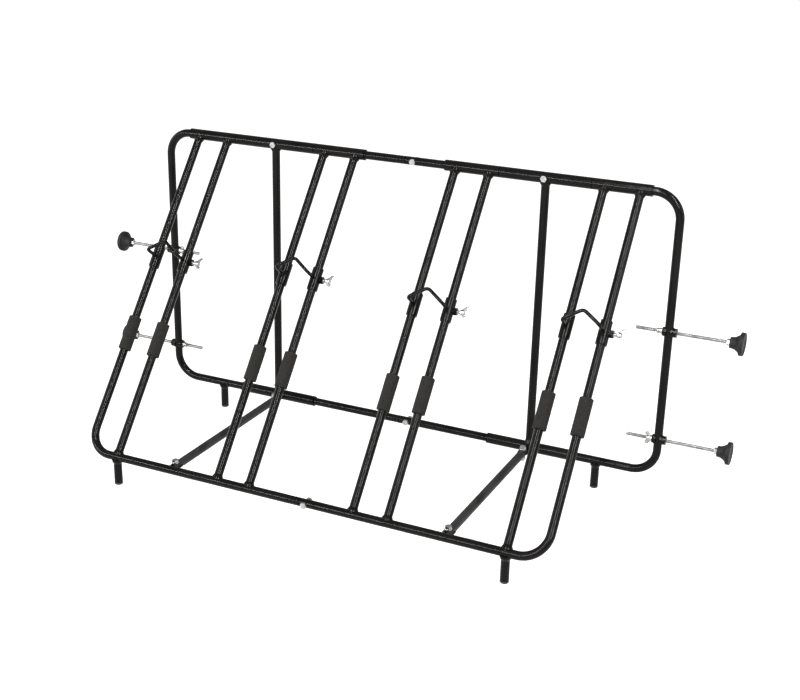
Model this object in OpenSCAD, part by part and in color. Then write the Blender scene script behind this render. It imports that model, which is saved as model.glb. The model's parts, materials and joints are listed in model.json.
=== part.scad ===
// Folding floor rack that holds four bicycles by their front wheels, made of bent round steel tube.
// A vertical rear frame and a sloping front frame meet at the top rail, where the front frame turns.
// Millimetres. +X is to the right seen from the front, +Y to the rear, +Z up, and the feet stand on Z = 0.

/* [Rack] */
// Distance between the centres of the two posts of the rear frame
post_span = 1276; // [1080:2:1560]
// Height of the centre of the top rail above the floor
top_height = 708; // [600:1:860]
// Distance from the rear bottom rail to the front bottom rail
depth = 495; // [400:1:600]
// Height of the centres of both bottom rails above the floor
rail_height = 67; // [55:1:90]

/* [Tubes] */
// Outside diameter of the frame tube
tube_d = 19; // [16:0.5:23]
// Wall of the frame tube
tube_wall = 1.5; // [1:0.1:2]
// Centre-line radius of the bent corners
bend_r = 57; // [45:1:68]
// Wall of the sleeves that slide or turn on the frame tube
sleeve_wall = 3; // [2:0.1:4]
// Radial clearance between a sleeve and the tube inside it
sleeve_fit = 0.05; // [0.02:0.01:0.1]

/* [Wheel bays] */
// Distance between the centres of the two bars of a wheel bay
bar_gap = 80; // [70:1:100]
// Distance from the middle of the rack to the centre of an inner bay
inner_bay = 166; // [140:1:200]
// Distance from a post to the centre of the outer bay beside it
post_to_bay = 128; // [120:1:160]
// Length of the hinge sleeve that carries the two bars of a bay
hinge_sleeve_l = 131; // [110:1:138]
// Gap between neighbouring sleeves on the top rail
sleeve_gap = 1.5; // [0.5:0.1:3]

/* [Foam grips] */
// Distance from the top rail down to the grip on the left-hand bar of each bay
left_grip_drop = [482, 493, 499, 471]; // [440:1:520]
// Distance from the top rail down to the grip on the right-hand bar of each bay
right_grip_drop = [485, 495, 490, 469]; // [440:1:520]
// Length of a grip
grip_l = 81; // [50:1:110]
// Outside diameter of a grip
grip_d = 30; // [26:0.5:36]

/* [Wheel clamps] */
// Distance from the top rail down the bars to the clamp, for each bay from left to right
clamp_drop = [301, 290, 309, 300]; // [280:1:330]
// Length of the two sleeves of a clamp
clamp_l = 52; // [40:1:60]
// Diameter of the bent rod of the hoop
hoop_d = 8; // [6:0.5:10]
// How far the hoop stands out from the plane of the bars
hoop_out = 48; // [36:1:60]
// How far the top of the hoop rises above its two legs
hoop_rise = 27; // [15:1:36]
// Centre-line radius of the two lower bends of the hoop
hoop_bend_r = 9; // [7:0.5:12]
// Centre-line radius of the bend at the top of the hoop
hoop_top_r = 12; // [8:0.5:16]
// Length of shank that shows between the nut and the wings of a clamp's bolt
shank_shown_l = 8; // [2:0.5:12]

/* [Spreader bars] */
// How far each spreader bar stands inside its brace leg, towards the middle
spreader_inset = 5; // [0:1:20]
// How far the centre of a spreader bar lies below the centres of the bottom rails
spreader_drop = 5; // [4:0.5:5]
// Distance from the rear bottom rail to the bolt on which a spreader bar swings
pivot_reach = 30; // [29:1:36]
// Distance from the front bottom rail to the front bolt of a spreader bar
front_bolt_reach = 29; // [27:0.5:31]
// Thickness of the plate brackets
bracket_t = 3; // [2:0.5:4]
// Width of the plate brackets
bracket_w = 25; // [20:1:30]

/* [Stabilisers] */
// Heights of the lower and the upper threaded rods
rod_heights = [150, 404]; // [140:1:480]
// Diameter of the threaded rods
rod_d = 8; // [6:0.5:8]
// Distance from a post to the face of a rubber foot
foot_reach = 162; // [130:1:260]
// Distance from a post to the inner end of a rod
rod_inner_l = 73; // [60:1:90]
// Diameter of the face of a rubber foot
rubber_d = 51; // [40:1:60]
// Length of a rubber foot
rubber_l = 30; // [24:1:40]
// Angle of the wing nuts from upright: upper left, lower left, upper right, lower right
wing_turn = [20, 80, 85, 0]; // [0:5:180]

/* [Feet] */
// Distance from a post to the rear foot beside it
rear_foot_inset = 138; // [100:1:180]
// Height of the plastic glide that shows below each foot
glide_h = 5; // [3:0.5:8]

/* [Bolts] */
// Diameter of the bolts
bolt_d = 8; // [6:0.5:8]
// Width across the flats of the bolt heads and nuts
hex_w = 13; // [11:0.5:14]
// Height of a bolt head
head_h = 5.3; // [4:0.1:6]
// Height of a nut
nut_h = 6.5; // [5:0.1:8]

/* [Hidden] */
$fn = 64;

// Colours
powder_black = [0.10, 0.10, 0.11];
foam_grey = [0.24, 0.23, 0.22];
zinc = [0.75, 0.76, 0.76];
rubber_black = [0.16, 0.16, 0.16];
plastic_black = [0.07, 0.07, 0.07];

// Fits and small gaps
hole_fit = 0.05;
weld_gap = 0.1;
body_gap = 0.3;
over = 1;

// Tubes and sleeves
tube_r = tube_d / 2;
tube_in_r = tube_r - tube_wall;
sleeve_in_r = tube_r + sleeve_fit;
sleeve_r = sleeve_in_r + sleeve_wall;
weld_w = 3;
weld_h = 6;

// Places across the rack
post_x = post_span / 2;
outer_bay = post_x - post_to_bay;
bay_x = [-outer_bay, -inner_bay, inner_bay, outer_bay];
leg_x = (inner_bay + outer_bay) / 2;
leg_sleeve_l = outer_bay - inner_bay - hinge_sleeve_l - 2 * sleeve_gap;
spreader_x = leg_x - spreader_inset;
rear_foot_x = post_x - rear_foot_inset;
front_foot_x = outer_bay - bar_gap / 2;

// Joint in the middle of each rail: the left tube is swaged down and pushed into the right tube
joint_x = 4;
rear_joint_bolt_x = joint_x + 20;
front_joint_bolt_x = joint_x + 14;
swage_end_x = joint_x + 45;
swage_neck_l = 1;
swage_shown_l = 0.5;
swage_fit = 0.05;
crimp_count = 3;
crimp_pitch = 8;
crimp_w = 4;
crimp_depth = 0.5;
swage_r = tube_in_r - swage_fit;
swage_in_r = swage_r - tube_wall;

// Places front to rear: the outer box is centred on Y = 0
front_reach = depth + tube_r + head_h + hole_fit;
rear_reach = rubber_d / 2;
rear_y = (front_reach - rear_reach) / 2;
front_y = rear_y - depth;

// Slope of the front frame
drop = top_height - rail_height;
slope = atan(depth / drop);
bar_l = norm([depth, drop]);

// Spreader bars and their brackets, as distances in front of the rear rail
spreader_z = rail_height - spreader_drop;
bracket_top = spreader_z + bracket_t / 2;
bracket_low = spreader_z - bracket_t / 2;
front_bolt_y = depth - front_bolt_reach;
bracket_end_y = front_bolt_y - bracket_w / 2;
notch_z = bracket_top + body_gap;
swept_r = norm([bracket_end_y, top_height - bracket_top]) - body_gap;
notch_top_y = sqrt(pow(swept_r, 2) - pow(top_height - notch_z, 2));
notch_low_y = sqrt(pow(swept_r, 2) - pow(top_height - spreader_z + tube_r + over, 2));
spreader_front_y = sqrt(pow(bar_l - tube_r - body_gap, 2) - pow(top_height - notch_z, 2));
pivot_edge = 9;
spreader_rear_y = pivot_reach - pivot_edge;
slot_depth = pivot_edge + bracket_w / 2 + 2 * body_gap;

// Stabilisers
bush_d = 20;
bush_weld_w = 1;
bush_weld_l = 2;
outer_bush_l = 8.5;
inner_bush_l = 4;
rod_start_x = post_x - rod_inner_l;
foot_face_x = post_x + foot_reach;
rubber_hub_d = 25;
rubber_hub_l = 7;
rubber_rim_l = 7;
rubber_bore_l = 18;
rod_end_x = foot_face_x - rubber_l + rubber_bore_l;

// Wing nuts and wing bolts
wing_hub_d = 13;
wing_hub_l = 12;
wing_t = 3;
wing_span = 31;
wing_rise = 17;
wing_tip_r = 5;

// Wheel clamps
clamp_nut_w = 15;
clamp_nut_l = 8;
top_bend_lap = 0.2;
top_bend_d = hoop_d - 0.06;
washer_d = 16;
washer_t = 1.6;

module ring(r_out, r_in) {
    difference() {
        circle(r = r_out);
        circle(r = r_in);
    }
}

module tube(r_out, r_in, length) {
    linear_extrude(length) ring(r_out, r_in);
}

module bend(angle, r_out, r_in) {
    rotate_extrude(angle = angle) translate([bend_r, 0]) ring(r_out, r_in);
}

module hex(width, length) {
    cylinder(r = width / sqrt(3), h = length, $fn = 6);
}

// Turns a shape that points along +Z so that it points along +X
module along_x() {
    rotate([0, 90, 0]) children();
}

// Turns a shape that points along +Z so that it points to the front, along -Y
module to_front() {
    rotate([90, 0, 0]) children();
}

// Frame of the sloping bars: origin on the top rail, -Z down the bars, -Y square out to the front
module on_slope() {
    translate([0, rear_y, top_height]) rotate([-slope, 0, 0]) children();
}

// Frame of the rear frame's plane at floor level
module on_rear() {
    translate([0, rear_y, 0]) children();
}

module both_sides(x) {
    for (side = [-1, 1]) translate([side * x, 0, 0]) children();
}

// ---- Bent tubes -------------------------------------------------------------------------

// Plain half rail along X from the joint to the corner bend of a right-hand half
module plain_rail(corner_x) {
    translate([joint_x, 0, 0]) along_x() tube(tube_r, tube_in_r, corner_x - bend_r - joint_x);
}

// Half rail of a left-hand half, mirrored to +X, with the swaged end that enters the other tube
// and the crimps that were rolled in beside it
module swaged_rail(corner_x) {
    end_x = -swage_end_x;
    neck_x = -joint_x + swage_shown_l;
    full_x = neck_x + swage_neck_l;
    rail_end = corner_x - bend_r;
    crimps = [for (i = [0 : crimp_count - 1], step = [0, 1, 2, 3])
        [tube_r - (step % 3 == 0 ? 0 : crimp_depth),
            full_x + crimp_w + i * crimp_pitch + step * crimp_w / 3]];
    along_x() rotate_extrude() polygon(concat(
        [[swage_in_r, end_x], [swage_r, end_x], [swage_r, neck_x], [tube_r, full_x]],
        crimps,
        [[tube_r, rail_end], [tube_in_r, rail_end], [tube_in_r, full_x], [swage_in_r, neck_x]]
    ));
}

// Half of the rear frame in the plane X-Z: rail, corner, post, corner, rail
module rear_half(swaged) {
    for (end = [0, 1]) translate([0, 0, end == 0 ? top_height : rail_height])
        if (swaged) swaged_rail(post_x);
        else plain_rail(post_x);
    translate([post_x - bend_r, 0, top_height - bend_r]) rotate([90, 0, 0])
        bend(90, tube_r, tube_in_r);
    translate([post_x - bend_r, 0, rail_height + bend_r]) rotate([90, 0, 0]) rotate([0, 0, -90])
        bend(90, tube_r, tube_in_r);
    translate([post_x, 0, rail_height + bend_r])
        tube(tube_r, tube_in_r, top_height - rail_height - 2 * bend_r);
}

// Outer bar, corner and bottom rail of one half of the front frame, on the slope
module front_half(swaged) {
    bar_x = outer_bay + bar_gap / 2;
    translate([bar_x, 0, bend_r - bar_l]) tube(tube_r, tube_in_r, bar_l - bend_r);
    bar_collar(bar_x);
    translate([bar_x - bend_r, 0, bend_r - bar_l]) rotate([90, 0, 0]) rotate([0, 0, -90])
        bend(90, tube_r, tube_in_r);
    translate([0, 0, -bar_l])
        if (swaged) swaged_rail(bar_x);
        else plain_rail(bar_x);
}

// Holes through a rail for a bolt that runs front to rear
module bolt_hole(x, z) {
    translate([x, tube_d, z]) to_front() cylinder(d = bolt_d + 2 * hole_fit, h = 2 * tube_d);
}

module rear_holes() {
    for (z = [rail_height, top_height]) bolt_hole(rear_joint_bolt_x, z);
    for (side = [-1, 1]) bolt_hole(side * leg_x, top_height);
    for (z = rod_heights) translate([-post_x - tube_d, 0, z]) along_x()
        cylinder(d = rod_d + 2 * hole_fit, h = post_span + 2 * tube_d);
}

module rear_frame_left() {
    color(powder_black) on_rear() difference() {
        mirror([1, 0, 0]) rear_half(true);
        rear_holes();
    }
}

module rear_frame_right() {
    color(powder_black) on_rear() difference() {
        rear_half(false);
        rear_holes();
    }
}

// The sleeve surface that the top end of a bar is shaped to
module top_cope() {
    translate([-post_x, 0, 0]) along_x() cylinder(r = sleeve_r + weld_gap, h = post_span);
}

module front_rail(swaged) {
    difference() {
        on_slope() difference() {
            if (swaged) mirror([1, 0, 0]) front_half(true);
            else front_half(false);
            top_cope();
        }
        translate([0, front_y, 0]) bolt_hole(front_joint_bolt_x, rail_height);
    }
}

module front_rail_left() {
    color(powder_black) front_rail(true);
}

module front_rail_right() {
    color(powder_black) front_rail(false);
}

// ---- Straight bars and hinge sleeves ----------------------------------------------------

// Weld bead that widens from the tube towards the surface it is welded to, pointing along +Z
module weld(surface) {
    translate([0, 0, surface]) rotate_extrude() polygon([
        [tube_in_r, -tube_r / 2], [tube_r + weld_w, -tube_r / 2], [tube_r + weld_w, 0],
        [tube_r, weld_h], [tube_in_r, weld_h],
    ]);
}

// Weld at the top of a bar, on the slope
module bar_collar(x) {
    translate([x, 0, 0]) mirror([0, 0, 1]) weld(sleeve_r);
}

module rack_bar(x) {
    color(powder_black) on_slope() difference() {
        union() {
            translate([x, 0, -bar_l]) tube(tube_r, tube_in_r, bar_l);
            bar_collar(x);
            translate([x, 0, -bar_l]) weld(tube_r);
        }
        top_cope();
        translate([-post_x, 0, -bar_l]) along_x()
            cylinder(r = tube_r + weld_gap, h = post_span);
    }
}

function bar_x(n) = bay_x[floor((n - 1) / 2)] + (n % 2 == 0 ? 1 : -1) * bar_gap / 2;

module rack_bar_2() { rack_bar(bar_x(2)); }
module rack_bar_3() { rack_bar(bar_x(3)); }
module rack_bar_4() { rack_bar(bar_x(4)); }
module rack_bar_5() { rack_bar(bar_x(5)); }
module rack_bar_6() { rack_bar(bar_x(6)); }
module rack_bar_7() { rack_bar(bar_x(7)); }

module hinge_sleeve(n) {
    color(powder_black) on_slope() translate([bay_x[n - 1] - hinge_sleeve_l / 2, 0, 0])
        along_x() tube(sleeve_r, sleeve_in_r, hinge_sleeve_l);
}

module hinge_sleeve_1() { hinge_sleeve(1); }
module hinge_sleeve_2() { hinge_sleeve(2); }
module hinge_sleeve_3() { hinge_sleeve(3); }
module hinge_sleeve_4() { hinge_sleeve(4); }

// ---- Brace legs -------------------------------------------------------------------------

module brace_leg(side) {
    color(powder_black) on_rear() translate([side * leg_x, 0, 0]) difference() {
        union() {
            for (z = [rail_height, top_height]) translate([-leg_sleeve_l / 2, 0, z])
                along_x() cylinder(r = sleeve_r, h = leg_sleeve_l);
            translate([0, 0, rail_height]) cylinder(r = tube_r, h = drop);
            translate([0, 0, rail_height]) weld(sleeve_r);
            translate([0, 0, top_height]) mirror([0, 0, 1]) weld(sleeve_r);
            translate([-side * spreader_inset, -pivot_reach, bracket_low]) rear_bracket();
        }
        for (z = [rail_height, top_height]) translate([-leg_sleeve_l / 2 - over, 0, z])
            along_x() cylinder(r = sleeve_in_r, h = leg_sleeve_l + 2 * over);
        translate([0, 0, rail_height]) cylinder(r = tube_in_r, h = drop);
        bolt_hole(0, top_height);
        translate([-side * spreader_inset, -pivot_reach, bracket_low - over])
            cylinder(d = bolt_d + 2 * hole_fit, h = bracket_t + 2 * over);
    }
}

// Plate with a round end about the pivot, running back into the wall of the bottom sleeve
module rear_bracket() {
    linear_extrude(bracket_t) union() {
        circle(d = bracket_w);
        translate([-bracket_w / 2, 0]) square([bracket_w, pivot_reach - sleeve_in_r - over]);
    }
}

module brace_leg_left() { brace_leg(-1); }
module brace_leg_right() { brace_leg(1); }

// ---- Feet -------------------------------------------------------------------------------

module foot_tube() {
    difference() {
        union() {
            translate([0, 0, glide_h]) tube(tube_r, tube_in_r, rail_height - glide_h);
            translate([0, 0, rail_height]) mirror([0, 0, 1]) weld(tube_r);
        }
        translate([-tube_d, 0, rail_height]) along_x()
            cylinder(r = tube_r + weld_gap, h = 2 * tube_d);
    }
}

module glide() {
    plug_r = tube_in_r - hole_fit;
    edge = 1.5;
    rotate_extrude() polygon([
        [0, 0], [tube_r - edge, 0], [tube_r, edge], [tube_r, glide_h],
        [plug_r, glide_h], [plug_r, 3 * glide_h], [0, 3 * glide_h],
    ]);
}

module rear_feet() {
    color(powder_black) on_rear() both_sides(rear_foot_x) foot_tube();
}

module rear_foot_glides() {
    color(plastic_black) on_rear() both_sides(rear_foot_x) glide();
}

module front_feet() {
    color(powder_black) translate([0, front_y, 0]) both_sides(front_foot_x) foot_tube();
}

module front_foot_glides() {
    color(plastic_black) translate([0, front_y, 0]) both_sides(front_foot_x) glide();
}

// ---- Bolts and nuts of the frames -------------------------------------------------------

// Bolt along +Z through something of the given half thickness, centred on the origin
module bolt(half) {
    shank_l = 2 * half + nut_h + 2;
    translate([0, 0, half + hole_fit]) hex(hex_w, head_h);
    translate([0, 0, half + hole_fit - shank_l]) cylinder(d = bolt_d, h = shank_l);
}

module nut() {
    difference() {
        hex(hex_w, nut_h);
        translate([0, 0, -over]) cylinder(d = bolt_d + 2 * hole_fit, h = nut_h + 2 * over);
    }
}

module nut_behind(half) {
    translate([0, 0, -half - hole_fit - nut_h]) nut();
}

module rear_frame_bolts() {
    color(zinc) on_rear() {
        for (z = [rail_height, top_height])
            translate([rear_joint_bolt_x, 0, z]) to_front() bolt(tube_r);
        both_sides(leg_x) translate([0, 0, top_height]) to_front() bolt(sleeve_r);
    }
}

module rear_frame_nuts() {
    color(zinc) on_rear() {
        for (z = [rail_height, top_height])
            translate([rear_joint_bolt_x, 0, z]) to_front() nut_behind(tube_r);
        both_sides(leg_x) translate([0, 0, top_height]) to_front() nut_behind(sleeve_r);
    }
}

module front_frame_bolt() {
    color(zinc) translate([front_joint_bolt_x, front_y, rail_height]) to_front() bolt(tube_r);
}

module front_frame_nut() {
    color(zinc) translate([front_joint_bolt_x, front_y, rail_height]) to_front() nut_behind(tube_r);
}

// ---- Foam grips -------------------------------------------------------------------------

module foam_grip(n) {
    bay = floor((n - 1) / 2);
    grip_drop = n % 2 == 1 ? left_grip_drop[bay] : right_grip_drop[bay];
    color(foam_grey) on_slope() translate([bar_x(n), 0, -grip_drop - grip_l])
        tube(grip_d / 2, tube_r + hole_fit, grip_l);
}

module foam_grip_1() { foam_grip(1); }
module foam_grip_2() { foam_grip(2); }
module foam_grip_3() { foam_grip(3); }
module foam_grip_4() { foam_grip(4); }
module foam_grip_5() { foam_grip(5); }
module foam_grip_6() { foam_grip(6); }
module foam_grip_7() { foam_grip(7); }
module foam_grip_8() { foam_grip(8); }

// ---- Spreader bars ----------------------------------------------------------------------

// Plate welded to the back of the front rail, under the front end of each spreader bar
module spreader_brackets() {
    color(powder_black) on_rear() both_sides(spreader_x) difference() {
        translate([-bracket_w / 2, -depth, bracket_low])
            cube([bracket_w, depth - bracket_end_y, bracket_t]);
        translate([-bracket_w, -depth, rail_height]) along_x()
            cylinder(r = tube_r + weld_gap, h = 2 * bracket_w);
        translate([0, -front_bolt_y, bracket_low - over])
            cylinder(d = bolt_d + 2 * hole_fit, h = bracket_t + 2 * over);
    }
}

module spreader_bracket_nuts() {
    color(zinc) on_rear() both_sides(spreader_x)
        translate([0, -front_bolt_y, bracket_low - hole_fit - nut_h]) nut();
}

// Tube from the rear bracket to the front one. The rear end is slotted over its bracket.
// The front end keeps only its upper half, which rests over the front bracket.
module spreader(side) {
    color(powder_black) on_rear() translate([side * spreader_x, 0, 0]) difference() {
        translate([0, -spreader_rear_y, spreader_z]) to_front()
            tube(tube_r, tube_in_r, spreader_front_y - spreader_rear_y);
        translate([-tube_d, -spreader_rear_y - slot_depth, bracket_low - body_gap])
            cube([2 * tube_d, slot_depth + over, bracket_t + 2 * body_gap]);
        translate([-tube_d, 0, 0]) along_x() mirror([1, 0, 0]) linear_extrude(2 * tube_d)
            polygon([
                [notch_z, -spreader_front_y - over], [notch_z, -notch_top_y],
                [spreader_z - tube_r - over, -notch_low_y],
                [spreader_z - tube_r - over, -spreader_front_y - over],
            ]);
        for (y = [pivot_reach, front_bolt_y]) translate([0, -y, spreader_z - tube_d])
            cylinder(d = bolt_d + 2 * hole_fit, h = 2 * tube_d);
    }
}

module washer() {
    tube(washer_d / 2, bolt_d / 2 + hole_fit, washer_t);
}

// Pivot bolt with its nut, and the front bolt, which ends just above the front bracket
module spreader_fasteners(side) {
    head_z = spreader_z + tube_r + hole_fit;
    color(zinc) on_rear() translate([side * spreader_x, 0, 0]) {
        translate([0, -pivot_reach, spreader_z]) {
            bolt(tube_r + washer_t + hole_fit);
            nut_behind(tube_r);
        }
        translate([0, -front_bolt_y, 0]) {
            translate([0, 0, head_z + washer_t + hole_fit]) hex(hex_w, head_h);
            translate([0, 0, notch_z]) cylinder(d = bolt_d, h = head_z + washer_t + over - notch_z);
        }
        for (y = [pivot_reach, front_bolt_y]) translate([0, -y, head_z]) washer();
    }
}

module spreader_left() { spreader(-1); }
module spreader_right() { spreader(1); }
module spreader_left_fasteners() { spreader_fasteners(-1); }
module spreader_right_fasteners() { spreader_fasteners(1); }

// ---- Wheel clamps -----------------------------------------------------------------------

// Frame at the middle of a clamp: origin between its two sleeves, axes as on the slope
module on_clamp(n) {
    on_slope() translate([bay_x[n - 1], 0, -clamp_drop[n - 1] - clamp_l / 2]) children();
}

// Left half of the bent rod, from the sleeve out to the top of the hoop. The top bend starts just
// inside the straight run and is a hair thinner, so that the two are one rod.
module hoop_half() {
    rise_angle = atan(hoop_rise / (bar_gap / 2));
    leg_start = sleeve_r - sleeve_wall / 2;
    run = bar_gap / 2 / cos(rise_angle) - hoop_bend_r - hoop_top_r * tan(rise_angle);
    translate([-bar_gap / 2, 0, 0]) rotate([0, -rise_angle, 0]) {
        translate([0, -leg_start, 0]) to_front()
            cylinder(d = hoop_d, h = hoop_out - hoop_bend_r - leg_start);
        translate([hoop_bend_r, hoop_bend_r - hoop_out, 0]) rotate([0, 0, 180])
            rotate_extrude(angle = 90) translate([hoop_bend_r, 0]) circle(d = hoop_d);
        translate([hoop_bend_r, -hoop_out, 0]) along_x()
            cylinder(d = hoop_d, h = run + top_bend_lap);
    }
    translate([0, -hoop_out, hoop_rise - hoop_top_r / cos(rise_angle)]) rotate([90, 0, 0])
        rotate([0, 0, 90]) rotate_extrude(angle = rise_angle)
            translate([hoop_top_r, 0]) circle(d = top_bend_d);
}

module wheel_clamp(n) {
    color(powder_black) on_clamp(n) difference() {
        union() {
            for (x = [-bar_gap / 2, bar_gap / 2]) translate([x, 0, -clamp_l / 2])
                cylinder(r = sleeve_r, h = clamp_l);
            hoop_half();
            mirror([1, 0, 0]) hoop_half();
            translate([bar_gap / 2 + sleeve_r - sleeve_wall / 2, 0, 0]) along_x()
                hex(clamp_nut_w, clamp_nut_l + sleeve_wall / 2);
        }
        for (x = [-bar_gap / 2, bar_gap / 2]) translate([x, 0, -clamp_l / 2 - over])
            cylinder(r = sleeve_in_r, h = clamp_l + 2 * over);
        translate([bar_gap / 2, 0, 0]) along_x()
            cylinder(d = bolt_d + 2 * hole_fit, h = sleeve_r + clamp_nut_l + over);
    }
}

module wheel_clamp_1() { wheel_clamp(1); }
module wheel_clamp_2() { wheel_clamp(2); }
module wheel_clamp_3() { wheel_clamp(3); }
module wheel_clamp_4() { wheel_clamp(4); }

// Two wings that rise along +Z from the hub and lean apart
module wings() {
    tip_x = wing_span / 2 - wing_tip_r;
    tip_z = wing_rise - wing_tip_r;
    root_r = wing_hub_d / 2 - over;
    for (side = [0, 1]) mirror([side, 0, 0]) translate([0, wing_t / 2, 0]) rotate([90, 0, 0])
        linear_extrude(wing_t) union() {
            translate([tip_x, tip_z]) circle(r = wing_tip_r);
            polygon([
                [root_r, over], [wing_hub_d / 2, over], [tip_x + wing_tip_r * 0.9, tip_z - 1],
                [tip_x - wing_tip_r * 0.6, tip_z + 3], [root_r, wing_hub_l * 0.75],
            ]);
        }
}

module wing_bolt(n) {
    tip_x = tube_r + body_gap;
    hub_x = sleeve_r + clamp_nut_l + shank_shown_l;
    color(zinc) on_clamp(n) translate([bar_gap / 2, 0, 0]) along_x() {
        translate([0, 0, tip_x]) cylinder(d = bolt_d, h = hub_x - tip_x + over);
        translate([0, 0, hub_x]) cylinder(d = wing_hub_d, h = wing_hub_l * 0.75);
        translate([0, 0, hub_x]) wings();
    }
}

module wing_bolt_1() { wing_bolt(1); }
module wing_bolt_2() { wing_bolt(2); }
module wing_bolt_3() { wing_bolt(3); }
module wing_bolt_4() { wing_bolt(4); }

// ---- Stabilisers ------------------------------------------------------------------------

// Collar welded to the post, shaped to it, with a bore for the rod, pointing along +Z
module bush(length) {
    bore_r = rod_d / 2 + hole_fit;
    weld_r = bush_d / 2 + bush_weld_w;
    difference() {
        rotate_extrude() polygon([
            [bore_r, tube_r / 2], [weld_r, tube_r / 2], [weld_r, tube_r],
            [bush_d / 2, tube_r + bush_weld_l], [bush_d / 2, tube_r + length],
            [bore_r, tube_r + length],
        ]);
        translate([-bush_d, 0, 0]) along_x() cylinder(r = tube_r + weld_gap, h = 2 * bush_d);
    }
}

module post_bushes() {
    color(powder_black) on_rear() for (z = rod_heights, side = [0, 1])
        mirror([side, 0, 0]) translate([post_x, 0, z]) {
            along_x() bush(outer_bush_l);
            mirror([1, 0, 0]) along_x() bush(inner_bush_l);
        }
}

// Frame on the axis of a rod, with +X outwards on either side of the rack
module on_rod(side, height) {
    on_rear() translate([0, 0, height]) mirror([side < 0 ? 1 : 0, 0, 0]) children();
}

module stabiliser_rod(side, height) {
    nut_x = foot_face_x - rubber_l - nut_h - hole_fit;
    color(zinc) on_rod(side, height) {
        translate([rod_start_x, 0, 0]) along_x() cylinder(d = rod_d, h = rod_end_x - rod_start_x);
        translate([nut_x, 0, 0]) along_x() nut();
    }
}

module rubber_foot(side, height) {
    color(rubber_black) on_rod(side, height) translate([foot_face_x - rubber_l, 0, 0]) along_x()
        rotate_extrude() polygon([
            [rod_d / 2 + hole_fit, 0], [rubber_hub_d / 2, 0], [rubber_hub_d / 2, rubber_hub_l],
            [rubber_d / 2, rubber_l - rubber_rim_l], [rubber_d / 2, rubber_l], [0, rubber_l],
            [0, rubber_bore_l + hole_fit], [rod_d / 2 + hole_fit, rubber_bore_l + hole_fit],
        ]);
}

module wing_nut(side, height, turn) {
    face_x = post_x - tube_r - inner_bush_l - body_gap;
    color(zinc) on_rod(side, height) translate([face_x, 0, 0]) mirror([1, 0, 0]) along_x()
        rotate([0, 0, turn]) difference() {
            union() {
                cylinder(d = wing_hub_d, h = wing_hub_l);
                wings();
            }
            translate([0, 0, -over])
                cylinder(d = rod_d + 2 * hole_fit, h = wing_rise + 2 * over);
        }
}

module stabiliser_rod_lower_left() { stabiliser_rod(-1, rod_heights[0]); }
module stabiliser_rod_upper_left() { stabiliser_rod(-1, rod_heights[1]); }
module stabiliser_rod_lower_right() { stabiliser_rod(1, rod_heights[0]); }
module stabiliser_rod_upper_right() { stabiliser_rod(1, rod_heights[1]); }
module rubber_foot_lower_left() { rubber_foot(-1, rod_heights[0]); }
module rubber_foot_upper_left() { rubber_foot(-1, rod_heights[1]); }
module rubber_foot_lower_right() { rubber_foot(1, rod_heights[0]); }
module rubber_foot_upper_right() { rubber_foot(1, rod_heights[1]); }
module wing_nut_lower_left() { wing_nut(-1, rod_heights[0], wing_turn[1]); }
module wing_nut_upper_left() { wing_nut(-1, rod_heights[1], wing_turn[0]); }
module wing_nut_lower_right() { wing_nut(1, rod_heights[0], wing_turn[3]); }
module wing_nut_upper_right() { wing_nut(1, rod_heights[1], wing_turn[2]); }

// ---- Drawing ----------------------------------------------------------------------------

rear_frame_left();
rear_frame_right();
rear_feet();
rear_foot_glides();
rear_frame_bolts();
rear_frame_nuts();
brace_leg_left();
brace_leg_right();
post_bushes();
front_rail_left();
front_rail_right();
rack_bar_2();
rack_bar_3();
rack_bar_4();
rack_bar_5();
rack_bar_6();
rack_bar_7();
hinge_sleeve_1();
hinge_sleeve_2();
hinge_sleeve_3();
hinge_sleeve_4();
front_feet();
front_foot_glides();
front_frame_bolt();
front_frame_nut();
spreader_brackets();
spreader_bracket_nuts();
foam_grip_1();
foam_grip_2();
foam_grip_3();
foam_grip_4();
foam_grip_5();
foam_grip_6();
foam_grip_7();
foam_grip_8();
spreader_left();
spreader_left_fasteners();
spreader_right();
spreader_right_fasteners();
wheel_clamp_1();
wheel_clamp_2();
wheel_clamp_3();
wheel_clamp_4();
wing_bolt_1();
wing_bolt_2();
wing_bolt_3();
wing_bolt_4();
stabiliser_rod_upper_left();
stabiliser_rod_lower_left();
stabiliser_rod_upper_right();
stabiliser_rod_lower_right();
rubber_foot_upper_left();
rubber_foot_lower_left();
rubber_foot_upper_right();
rubber_foot_lower_right();
wing_nut_upper_left();
wing_nut_lower_left();
wing_nut_upper_right();
wing_nut_lower_right();
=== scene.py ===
import json
import math

import bmesh
import bpy
from mathutils import Matrix, Vector, noise


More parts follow.
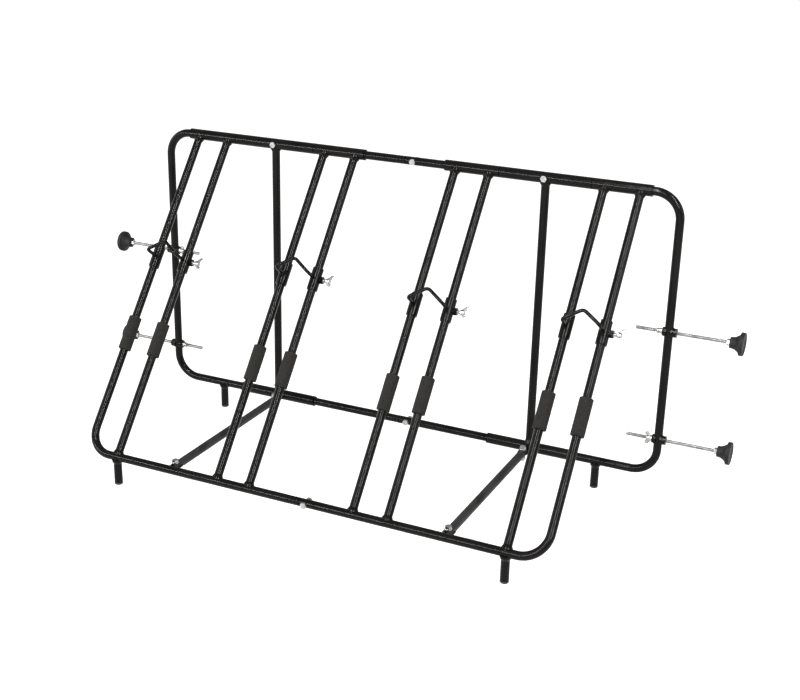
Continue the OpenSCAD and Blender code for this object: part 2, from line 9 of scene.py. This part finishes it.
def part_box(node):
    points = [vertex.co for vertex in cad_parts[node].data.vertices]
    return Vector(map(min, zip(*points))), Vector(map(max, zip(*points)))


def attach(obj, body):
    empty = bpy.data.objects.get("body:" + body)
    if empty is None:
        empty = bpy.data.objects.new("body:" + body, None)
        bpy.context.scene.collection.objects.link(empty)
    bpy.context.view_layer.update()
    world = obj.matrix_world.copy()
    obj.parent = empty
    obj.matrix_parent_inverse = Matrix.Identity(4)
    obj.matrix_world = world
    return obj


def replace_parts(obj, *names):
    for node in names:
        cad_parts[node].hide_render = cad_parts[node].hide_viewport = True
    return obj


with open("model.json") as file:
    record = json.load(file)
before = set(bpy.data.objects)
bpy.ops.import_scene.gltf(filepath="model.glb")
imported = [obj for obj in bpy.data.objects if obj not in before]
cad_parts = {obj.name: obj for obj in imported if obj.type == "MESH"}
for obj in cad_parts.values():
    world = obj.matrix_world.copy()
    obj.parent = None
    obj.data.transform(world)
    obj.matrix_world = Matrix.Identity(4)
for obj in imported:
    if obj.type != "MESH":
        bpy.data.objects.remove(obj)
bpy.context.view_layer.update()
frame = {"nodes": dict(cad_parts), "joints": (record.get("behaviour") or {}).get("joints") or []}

MM = 0.001
X_AXIS = Vector((1, 0, 0))
HINGE = Vector(frame["joints"][0]["pos_m"])
BAYS = (1, 2, 3, 4)
CORNERS = ("upper_left", "lower_left", "upper_right", "lower_right")


def centre(node):
    """The middle of a CAD node's box."""
    low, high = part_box(node)
    return (low + high) / 2


# The bars slope down and forward from the hinge. A grip's middle lies on its bar's own axis.
hinge_to_grip = centre("foam_grip_1") - HINGE
DOWN = Vector((0, hinge_to_grip.y, hinge_to_grip.z)).normalized()


# ---- Materials ---------------------------------------------------------------------------


class Surface:
    """A Principled material and short calls that add procedural nodes to it."""

    def __init__(self, name, metallic=0.0, **constants):
        self.material = bpy.data.materials.new(name)
        self.material.use_nodes = True
        self.tree = self.material.node_tree
        self.shader = self.tree.nodes["Principled BSDF"]
        self.shader.inputs["Metallic"].default_value = metallic
        for socket, value in constants.items():
            self.shader.inputs[socket.replace("_", " ")].default_value = value
        self.place = self.tree.nodes.new("ShaderNodeTexCoord").outputs["Object"]

    def link(self, a, b):
        self.tree.links.new(a, b)

    def noise(self, size, detail=3.0, stretch=(1, 1, 1)):
        """Grain about this size, in metres."""
        mapping = self.tree.nodes.new("ShaderNodeMapping")
        mapping.inputs["Scale"].default_value = [s / size for s in stretch]
        grain = self.tree.nodes.new("ShaderNodeTexNoise")
        grain.inputs["Scale"].default_value = 1.0
        grain.inputs["Detail"].default_value = detail
        self.link(self.place, mapping.inputs["Vector"])
        self.link(mapping.outputs["Vector"], grain.inputs["Vector"])
        return grain.outputs["Fac"]

    def cells(self, size):
        """Distance from the middle of pores about this size, in metres."""
        mapping = self.tree.nodes.new("ShaderNodeMapping")
        mapping.inputs["Scale"].default_value = [1 / size] * 3
        pores = self.tree.nodes.new("ShaderNodeTexVoronoi")
        pores.inputs["Scale"].default_value = 1.0
        self.link(self.place, mapping.inputs["Vector"])
        self.link(mapping.outputs["Vector"], pores.inputs["Vector"])
        return pores.outputs["Distance"]

    def between(self, value, low, high, start=0.35, end=0.65):
        """Stretches the part of value from start to end over low to high."""
        span = self.tree.nodes.new("ShaderNodeMapRange")
        limits = {"From Min": start, "From Max": end, "To Min": low, "To Max": high}
        for socket, number in limits.items():
            span.inputs[socket].default_value = number
        self.link(value, span.inputs["Value"])
        return span.outputs["Result"]

    def colours(self, value, dark, light, start=0.35, end=0.65):
        """Base colour from dark to light as value goes from start to end."""
        ramp = self.tree.nodes.new("ShaderNodeValToRGB")
        ramp.color_ramp.elements[0].position = start
        ramp.color_ramp.elements[1].position = end
        ramp.color_ramp.elements[0].color = (*dark, 1)
        ramp.color_ramp.elements[1].color = (*light, 1)
        self.link(value, ramp.inputs["Fac"])
        self.link(ramp.outputs["Color"], self.shader.inputs["Base Color"])

    def roughness(self, value, low, high):
        """Roughness from low to high, following value."""
        self.link(self.between(value, low, high), self.shader.inputs["Roughness"])

    def bumps(self, *layers):
        """Each layer is (value, depth in metres), laid over the one before."""
        normal = None
        for value, depth in layers:
            bump = self.tree.nodes.new("ShaderNodeBump")
            bump.inputs["Distance"].default_value = depth
            self.link(value, bump.inputs["Height"])
            if normal:
                self.link(normal, bump.inputs["Normal"])
            normal = bump.outputs["Normal"]
        self.link(normal, self.shader.inputs["Normal"])


def powder_coat():
    """Satin black powder coat: very faint orange peel, slight clouding and uneven gloss."""
    s = Surface("powder_coat", Specular_IOR_Level=0.085)
    s.colours(s.noise(60 * MM), (0.0016, 0.0014, 0.0013), (0.0030, 0.0027, 0.0025))
    s.roughness(s.noise(9 * MM), 0.15, 0.20)
    s.bumps((s.noise(1.6 * MM, detail=1), 0.0015 * MM), (s.noise(30 * MM, detail=1), 0.02 * MM))
    return s.material


def matte_tube():
    """The duller, rougher black of the spreader bars."""
    s = Surface("matte_powder_coat", Specular_IOR_Level=0.2)
    s.colours(s.noise(40 * MM), (0.0075, 0.0070, 0.0068), (0.0110, 0.0103, 0.0099))
    s.roughness(s.noise(6 * MM), 0.50, 0.62)
    s.bumps((s.noise(0.9 * MM, detail=2), 0.02 * MM))
    return s.material


def zinc_plate():
    """Bright zinc plate with faint clouding and fine scratches."""
    s = Surface("zinc", metallic=1.0)
    s.colours(s.noise(5 * MM), (0.24, 0.24, 0.24), (0.44, 0.435, 0.425))
    s.roughness(s.noise(2 * MM), 0.22, 0.38)
    s.bumps((s.noise(0.7 * MM, stretch=(0.2, 1, 1)), 0.02 * MM), (s.noise(4 * MM), 0.04 * MM))
    return s.material


def rolled_thread():
    """Duller zinc of the threaded rods, whose flanks hold a little grime."""
    s = Surface("thread_zinc", metallic=1.0)
    s.colours(s.noise(4 * MM, stretch=(0.3, 1, 1)), (0.20, 0.20, 0.195), (0.36, 0.355, 0.345))
    s.roughness(s.noise(2 * MM), 0.42, 0.58)
    s.bumps((s.noise(0.8 * MM), 0.02 * MM))
    return s.material


def rubber():
    """Moulded black rubber, faintly dusty."""
    s = Surface("rubber", Specular_IOR_Level=0.2)
    s.colours(s.noise(11 * MM, detail=5), (0.0025, 0.0023, 0.0022), (0.0060, 0.0057, 0.0055))
    s.roughness(s.noise(3 * MM), 0.55, 0.75)
    s.bumps((s.noise(0.5 * MM), 0.04 * MM), (s.noise(6 * MM), 0.08 * MM))
    return s.material


def plastic():
    """Moulded black plastic of the glides, scuffed on the floor."""
    s = Surface("plastic", Specular_IOR_Level=0.25)
    s.colours(s.noise(7 * MM), (0.012, 0.012, 0.012), (0.026, 0.025, 0.024))
    s.roughness(s.noise(1.5 * MM), 0.40, 0.62)
    s.bumps((s.noise(0.6 * MM), 0.03 * MM))
    return s.material


def foam():
    """Closed-cell foam: dull, with fine open pores and soft unevenness."""
    s = Surface("foam", Sheen_Weight=0.02, Sheen_Roughness=0.6, Specular_IOR_Level=0.10)
    s.colours(s.noise(3 * MM, detail=6), (0.0042, 0.0038, 0.0034), (0.0090, 0.0083, 0.0076))
    s.roughness(s.noise(4 * MM), 0.78, 0.95)
    s.bumps((s.cells(0.7 * MM), 0.16 * MM), (s.noise(5 * MM), 0.30 * MM))
    return s.material


COAT = powder_coat()
MATTE = matte_tube()
ZINC = zinc_plate()
THREAD_ZINC = rolled_thread()
RUBBER = rubber()
PLASTIC = plastic()
FOAM = foam()


def cad_material(node):
    """The material of a CAD node, by the words in its name."""
    if "glides" in node:
        return PLASTIC
    if "rubber" in node:
        return RUBBER
    if node in ("spreader_left", "spreader_right"):
        return MATTE
    if "foam" in node:
        return FOAM
    if any(word in node for word in ("bolt", "nut", "fasteners", "rod")):
        return ZINC
    return COAT


for node_name, node_object in frame["nodes"].items():
    node_object.data.materials.clear()
    node_object.data.materials.append(cad_material(node_name))


# ---- Mesh tools --------------------------------------------------------------------------

SHARP_ANGLE = math.radians(40)
ON_AXIS = 0.0001 * MM


def along(origin, axis, side=None):
    """A matrix that puts +Z along axis and +X along side, at origin."""
    z = Vector(axis).normalized()
    x = Vector(side) if side else z.orthogonal()
    x = (x - z * x.dot(z)).normalized()
    return Matrix.Translation(origin) @ Matrix((x, z.cross(x), z)).transposed().to_4x4()


def face_outward(bm):
    """Turns the faces of each closed form in the mesh so that they face out."""
    bmesh.ops.recalc_face_normals(bm, faces=bm.faces)
    left = set(bm.faces)
    while left:
        shell, edge = set(), [left.pop()]
        while edge:
            face = edge.pop()
            shell.add(face)
            near = {other for e in face.edges for other in e.link_faces} & left
            left -= near
            edge.extend(near)
        corners = [(f.verts[0].co, f.verts[i].co, f.verts[i + 1].co)
                   for f in shell for i in range(1, len(f.verts) - 1)]
        if sum(a.dot(b.cross(c)) for a, b, c in corners) < 0:
            bmesh.ops.reverse_faces(bm, faces=list(shell))


def piece(name, build, matrix, material, body, smooth=True):
    """A new object from a function that fills a bmesh, put in place by matrix, riding on body."""
    mesh = bpy.data.meshes.new(name)
    bm = bmesh.new()
    build(bm)
    face_outward(bm)
    bmesh.ops.transform(bm, matrix=matrix, verts=bm.verts)
    bm.to_mesh(mesh)
    bm.free()
    for polygon in mesh.polygons:
        polygon.use_smooth = smooth
    if smooth:
        mesh.set_sharp_from_angle(angle=SHARP_ANGLE)
    mesh.materials.append(material)
    made = bpy.data.objects.new(name, mesh)
    bpy.context.scene.collection.objects.link(made)
    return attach(made, body)


def lathe(bm, profile, segments=48, wobble=None):
    """Turns a closed profile of (radius, height) points about +Z."""
    rings = []
    for radius, height in profile:
        if radius < ON_AXIS:
            rings.append([bm.verts.new((0, 0, height))])
            continue
        ring = []
        for i in range(segments):
            a = math.tau * i / segments
            r = radius + (wobble(a, radius, height) if wobble else 0)
            ring.append(bm.verts.new((r * math.cos(a), r * math.sin(a), height)))
        rings.append(ring)
    for a, b in zip(rings, rings[1:] + rings[:1]):
        for i in range(segments):
            j = (i + 1) % segments
            if len(a) == 1 and len(b) == 1:
                break
            if len(a) == 1:
                bm.faces.new((a[0], b[j], b[i]))
            elif len(b) == 1:
                bm.faces.new((a[i], a[j], b[0]))
            else:
                bm.faces.new((a[i], a[j], b[j], b[i]))


def arc(centre_r, centre_z, radius, start, end, steps=6):
    """Points of a profile on an arc, from the angle start to end in degrees."""
    angles = [math.radians(start + (end - start) * i / steps) for i in range(steps + 1)]
    return [(centre_r + radius * math.cos(a), centre_z + radius * math.sin(a)) for a in angles]


# ---- Foam grips --------------------------------------------------------------------------

TUBE_R = 9.5 * MM
GRIP_L = 81 * MM
GRIP_R = 15 * MM


def foam_grip(number):
    """A foam sleeve with rounded ends and a soft, slightly uneven skin."""
    edge = 1.2 * MM
    bore = TUBE_R + 0.15 * MM
    half = GRIP_L / 2 - 0.1 * MM
    skin = GRIP_R - 0.25 * MM
    rows = 26
    skin_t = 3 * MM
    lump_l = 12 * MM
    lump_depth = 0.2 * MM
    lumps_round = 1.3
    noise_step = 9

    def unevenness(angle, radius, height):
        """How far the skin stands out here. The bore stays round, and each grip differs."""
        if radius < GRIP_R - skin_t:
            return 0
        spot = Vector((math.cos(angle), math.sin(angle), height / lump_l + noise_step * number))
        return lump_depth * noise.noise(spot * lumps_round)

    def build(bm):
        body = [(skin, -half + edge + (2 * half - 2 * edge) * i / rows) for i in range(1, rows)]
        profile = [(bore, half), (bore, -half)]
        profile += arc(skin - edge, -half + edge, edge, -90, 0)
        profile += body
        profile += arc(skin - edge, half - edge, edge, 0, 90)
        lathe(bm, profile, wobble=unevenness)

    node = f"foam_grip_{number}"
    grip = piece(f"grip_{number}", build, along(centre(node), DOWN), FOAM, "front_frame")
    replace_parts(grip, node)


for grip_number in range(1, 9):
    foam_grip(grip_number)


# ---- Stabilisers -------------------------------------------------------------------------

ROD_R = 4 * MM
PITCH = 1.25 * MM
THREAD_DEPTH = 0.62 * MM
NUT_L = 6.5 * MM
RUBBER_L = 30 * MM
JAM_NUT_TURN = (0, 0.3, 1)


def threaded_rod(bm, length, radius=ROD_R):
    """A rod along +Z with a rolled thread as one continuous helical ridge."""
    segments = 20
    # Each point of the thread is (share of the pitch, share of the thread's depth).
    profile = ((0.0, 0.0), (0.36, 1.0), (0.5, 1.0), (0.86, 0.0))
    turns = int(length / PITCH) - 1
    start = (length - turns * PITCH) / 2
    rows = []
    for turn in range(turns):
        for place, depth in profile:
            row = []
            for i in range(segments):
                a = math.tau * i / segments
                z = start + (turn + place + i / segments - 0.5) * PITCH
                z = min(max(z, 0), length)
                r = radius - THREAD_DEPTH * depth
                row.append(bm.verts.new((r * math.cos(a), r * math.sin(a), z)))
            rows.append(row)
    for a, b in zip(rows, rows[1:]):
        for i in range(segments - 1):
            bm.faces.new((a[i], a[i + 1], b[i + 1], b[i]))
    # The seam joins the end of each row to the start of the row one turn on.
    shift = len(profile)
    for k in range(len(rows) - shift - 1):
        bm.faces.new((rows[k][-1], rows[k + shift][0], rows[k + shift + 1][0], rows[k + 1][-1]))
    for end in (0, 1):
        rim = [e for e in bm.edges if e.is_boundary]
        low = [e for e in rim if (e.verts[0].co.z + e.verts[1].co.z) / 2 < length / 2]
        side = low if end == 0 else [e for e in rim if e not in low]
        bmesh.ops.holes_fill(bm, edges=side, sides=0)


def hex_nut(bm, across=13 * MM, length=NUT_L, bore=ROD_R + 0.05 * MM):
    """A nut with a bored middle and corners that are chamfered at both faces."""
    segments = 72
    cut = 0.7 * MM
    flat = across / 2
    chamfer_r = flat * 1.04

    def radius(angle, chamfered):
        turn = (angle % (math.tau / 6)) - math.tau / 12
        corner = flat / math.cos(turn)
        return min(corner, chamfer_r) if chamfered else corner

    rows = []
    for height, kind in ((0, "bore"), (0, "cut"), (cut, "full"), (length - cut, "full"),
                         (length, "cut"), (length, "bore")):
        row = []
        for i in range(segments):
            a = math.tau * i / segments
            r = bore if kind == "bore" else radius(a, kind == "cut")
            row.append(bm.verts.new((r * math.cos(a), r * math.sin(a), height)))
        rows.append(row)
    rows.append(rows[0])
    for a, b in zip(rows, rows[1:]):
        for i in range(segments):
            j = (i + 1) % segments
            bm.faces.new((a[i], a[j], b[j], b[i]))


def rubber_foot(bm, radius):
    """A turned rubber foot: hub, flared cone, grooved thick rim, and a shallow cupped face."""
    bore = 4.2 * MM
    bore_l = 17 * MM
    hub = 12.5 * MM
    rim = 9 * MM
    face = RUBBER_L
    back = face - rim
    profile = [(bore, bore_l), (bore, 0)]
    profile += arc(hub - 1.2 * MM, 1.2 * MM, 1.2 * MM, -90, 0)
    profile += [(hub, 5 * MM), (hub + 0.6 * MM, 8 * MM), (hub + 2.2 * MM, 12 * MM)]
    profile += [(hub + 4.8 * MM, 16 * MM), (hub + 8 * MM, back - 1.2 * MM)]
    profile += [(radius - 3 * MM, back)]
    profile += arc(radius - 1.5 * MM, back + 1.5 * MM, 1.5 * MM, -80, 0)
    profile += [(radius, back + 3.4 * MM), (radius - 0.5 * MM, back + 3.9 * MM)]
    profile += [(radius - 0.5 * MM, back + 4.7 * MM), (radius, back + 5.2 * MM)]
    profile += arc(radius - 1.5 * MM, face - 1.5 * MM, 1.5 * MM, 0, 90)
    profile += [(radius - 4 * MM, face), (radius - 5 * MM, face - 0.8 * MM), (0, face - 1.0 * MM)]
    profile += [(0, bore_l)]
    lathe(bm, profile, segments=64)


def stabiliser(corner):
    """Threaded rod, jam nut and rubber foot of one corner, which move as one body."""
    side = -1 if corner.endswith("left") else 1
    body = f"stabiliser_{corner}"
    low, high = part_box(f"stabiliser_rod_{corner}")
    foot_low, foot_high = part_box(f"rubber_foot_{corner}")
    mid = (foot_low + foot_high) / 2
    inner = low.x if side > 0 else high.x
    outer = high.x if side > 0 else low.x
    foot_x = foot_low.x if side > 0 else foot_high.x
    axis = X_AXIS * side
    rod = piece(
        f"threaded_rod_{corner}",
        lambda bm: threaded_rod(bm, abs(outer - inner)),
        along(Vector((inner, mid.y, mid.z)), axis),
        THREAD_ZINC, body,
    )
    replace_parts(rod, f"stabiliser_rod_{corner}")
    piece(
        f"jam_nut_{corner}", hex_nut,
        along(Vector((foot_x - side * NUT_L, mid.y, mid.z)), axis, side=JAM_NUT_TURN),
        ZINC, body, smooth=False,
    )
    foot = piece(
        f"rubber_{corner}",
        lambda bm: rubber_foot(bm, (foot_high.z - foot_low.z) / 2),
        along(Vector((foot_x, mid.y, mid.z)), axis),
        RUBBER, body,
    )
    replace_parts(foot, f"rubber_foot_{corner}")


for rod_corner in CORNERS:
    stabiliser(rod_corner)


# ---- Wings of the bolts and nuts ----------------------------------------------------------

WING_SPAN = 31 * MM
WING_RISE = 17 * MM
WING_HUB_R = 6.45 * MM
BOLT_HUB_L = 9 * MM
NUT_HUB_L = 12 * MM
SHANK_LAP = 1 * MM
WING_DISH = 0.25 * MM
# Each layer of a wing is (height over its middle plane in mm, share that it draws in).
WING_LAYERS = ((-1.45, 0.16), (-1.1, 0.05), (-0.5, 0.0), (0.5, 0.0), (1.1, 0.05), (1.45, 0.16))


def wing_outline(side):
    """Outline of one cast wing in the plane of the hub's axis, as (across, along) points."""
    tip_r = 4.8 * MM
    tip_x = WING_SPAN / 2 - tip_r - 0.1 * MM
    tip_z = WING_RISE - tip_r - 0.1 * MM
    points = [(3.0 * MM, 0.6 * MM), (6.2 * MM, 0.8 * MM), (9.0 * MM, 4.2 * MM)]
    points += arc(tip_x, tip_z, tip_r, -65, 190, steps=14)
    points += [(5.6 * MM, 10.2 * MM), (3.0 * MM, 8.6 * MM)]
    return [(side * x, z) for x, z in points]


def wing(bm, side):
    """One wing, 2.9 mm thick, with rounded edges and slightly dished faces."""
    outline = wing_outline(side)
    middle_x = sum(x for x, _ in outline) / len(outline)
    middle_z = sum(z for _, z in outline) / len(outline)
    layers = []
    for height, inset in WING_LAYERS:
        layer = []
        for x, z in outline:
            drawn_x = x + (middle_x - x) * inset
            drawn_z = z + (middle_z - z) * inset
            layer.append(bm.verts.new((drawn_x, height * MM, drawn_z)))
        layers.append(layer)
    count = len(outline)
    for a, b in zip(layers, layers[1:]):
        for i in range(count):
            j = (i + 1) % count
            bm.faces.new((a[i], a[j], b[j], b[i]))
    for layer, dish in ((layers[0], WING_DISH), (layers[-1], -WING_DISH)):
        heart = bm.verts.new((middle_x, layer[0].co.y + dish, middle_z))
        for i in range(count):
            bm.faces.new((layer[i], layer[(i + 1) % count], heart))


def hub(bm, bore, length):
    """A cast hub with rounded shoulders, bored right through when bore is not zero."""
    round_r = 1.0 * MM
    profile = [(bore, length), (bore, 0)]
    profile += [(WING_HUB_R - 0.4 * MM, 0), (WING_HUB_R - 0.05 * MM, 0.4 * MM)]
    profile += arc(WING_HUB_R - 0.5 * MM - round_r, length - round_r, round_r, 0, 90)
    lathe(bm, profile, segments=36)


def spread(node):
    """The direction across the hub in which the wings of a CAD node reach out."""
    tip_depth = 0.6 * MM
    made = frame["nodes"][node]
    middle = centre(node)
    arms = [made.matrix_world @ v.co - middle for v in made.data.vertices]
    arms = [Vector((0, arm.y, arm.z)) for arm in arms]
    reach = max(arm.length for arm in arms)
    tips = [arm for arm in arms if arm.length > reach - tip_depth]
    return sum((arm if arm.dot(tips[0]) > 0 else -arm for arm in tips), Vector()).normalized()


def winged(name, node, body, base_x, axis, hub_l, bore=0, shank=0):
    """Hub, two wings and, on a bolt, a threaded shank, each a closed form, for a CAD node."""

    def build(bm):
        if shank:
            threaded_rod(bm, shank + SHANK_LAP, radius=ROD_R - 0.02 * MM)
            bmesh.ops.translate(bm, verts=bm.verts, vec=(0, 0, -shank))
        hub(bm, bore, hub_l)
        wing(bm, 1)
        wing(bm, -1)

    middle = centre(node)
    place = along(Vector((base_x, middle.y, middle.z)), axis, side=spread(node))
    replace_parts(piece(name, build, place, ZINC, body), node)


for bay in BAYS:
    bolt_low, bolt_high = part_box(f"wing_bolt_{bay}")
    hub_base = bolt_high.x - WING_RISE
    winged(f"winged_bolt_{bay}", f"wing_bolt_{bay}", f"wing_bolt_{bay}", hub_base, X_AXIS,
           BOLT_HUB_L, shank=hub_base - bolt_low.x)

for rod_corner in CORNERS:
    nut_low, nut_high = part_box(f"wing_nut_{rod_corner}")
    inward = 1 if rod_corner.endswith("left") else -1
    winged(f"winged_nut_{rod_corner}", f"wing_nut_{rod_corner}", f"wing_nut_{rod_corner}",
           nut_low.x if inward > 0 else nut_high.x, X_AXIS * inward, NUT_HUB_L,
           bore=ROD_R + 0.05 * MM)


# ---- Floor, light and camera -------------------------------------------------------------

FLOOR_REACH = 600
FLOOR_DROP = 0.5 * MM
FLOOR_GRAIN = 0.6
FLOOR_GLOW = 0.98

AIM = Vector((0, 0, 0.35))
STRIP_AWAY = 3.5
STRIP_W = 0.10
STRIP_WATTS = 180
# Each strip is (name, the way to it from AIM, its length, the way that it lies).
STRIPS = (
    ("bar_strip_right", (0.709, -0.378, 0.595), 2.8, DOWN),
    ("bar_strip_front", (0.016, -0.622, 0.783), 2.8, DOWN),
    ("rail_strip", (-0.394, -0.849, 0.352), 4.0, X_AXIS),
)
SIDE_PLACE = Vector((3.2, 0.6, 0))
SIDE_RISE = Vector((0, 0, 1.2))
SIDE_W = 0.6
SIDE_L = 1.8
SIDE_WATTS = 18
WORLD_LIGHT = 0.55

SENSOR_W = 36
LENS = 59.04
CAMERA_PLACE = (1.2353, HINGE.y - 2.6672, 1.3538)
CAMERA_RIGHT = Vector((0.9034, 0.4281, 0.0224))
CAMERA_UP = Vector((-0.1699, 0.3096, 0.9356))


def floor():
    """A plain floor in mid grey that glows white, so it looks evenly pale under the strips."""
    mesh = bpy.data.meshes.new("floor")
    bm = bmesh.new()
    bmesh.ops.create_grid(bm, x_segments=1, y_segments=1, size=FLOOR_REACH)
    bm.to_mesh(mesh)
    bm.free()
    s = Surface("floor_paint", Specular_IOR_Level=0.0)
    s.colours(s.noise(FLOOR_GRAIN), (0.24, 0.24, 0.24), (0.26, 0.26, 0.26))
    s.shader.inputs["Roughness"].default_value = 1.0
    s.shader.inputs["Emission Color"].default_value = (1, 1, 1, 1)
    s.shader.inputs["Emission Strength"].default_value = FLOOR_GLOW
    mesh.materials.append(s.material)
    made = bpy.data.objects.new("floor", mesh)
    bpy.context.scene.collection.objects.link(made)
    made.location.z = -FLOOR_DROP


def softbox(name, place, aim, width, length, watts, lengthwise=(0, 0, 1)):
    """A rectangular light at place that faces aim, with its length turned towards lengthwise."""
    data = bpy.data.lights.new(name, "AREA")
    data.shape = "RECTANGLE"
    data.size = width
    data.size_y = length
    data.energy = watts
    made = bpy.data.objects.new(name, data)
    away = (Vector(place) - Vector(aim)).normalized()
    rise = Vector(lengthwise)
    rise = (rise - away * rise.dot(away)).normalized()
    turn = Matrix((rise.cross(away), rise, away)).transposed().to_4x4()
    made.matrix_world = Matrix.Translation(place) @ turn
    bpy.context.scene.collection.objects.link(made)


def studio():
    """Strips that draw the highlights along the bars and rails, soft sides and even white."""
    world = bpy.data.worlds.new("studio")
    bpy.context.scene.world = world
    world.use_nodes = True
    world.node_tree.nodes["Background"].inputs["Color"].default_value = (1, 1, 1, 1)
    world.node_tree.nodes["Background"].inputs["Strength"].default_value = WORLD_LIGHT
    for name, way, length, lie in STRIPS:
        softbox(name, AIM + STRIP_AWAY * Vector(way), AIM, STRIP_W, length, STRIP_WATTS, lie)
    for name, side in (("left_side", -1), ("right_side", 1)):
        softbox(name, side * SIDE_PLACE + SIDE_RISE, AIM, SIDE_W, SIDE_L, SIDE_WATTS)
    bpy.context.scene.view_settings.view_transform = "Standard"


def camera():
    """The viewpoint: 2.7 m in front of the hinge, 1.2 m to the right and 1.4 m up."""
    data = bpy.data.cameras.new("camera")
    data.sensor_width = SENSOR_W
    data.lens = LENS
    right = CAMERA_RIGHT.normalized()
    up = (CAMERA_UP - right * CAMERA_UP.dot(right)).normalized()
    made = bpy.data.objects.new("camera", data)
    rotation = Matrix((right, up, right.cross(up))).transposed().to_4x4()
    made.matrix_world = Matrix.Translation(CAMERA_PLACE) @ rotation
    bpy.context.scene.collection.objects.link(made)
    bpy.context.scene.camera = made


floor()
studio()
camera()
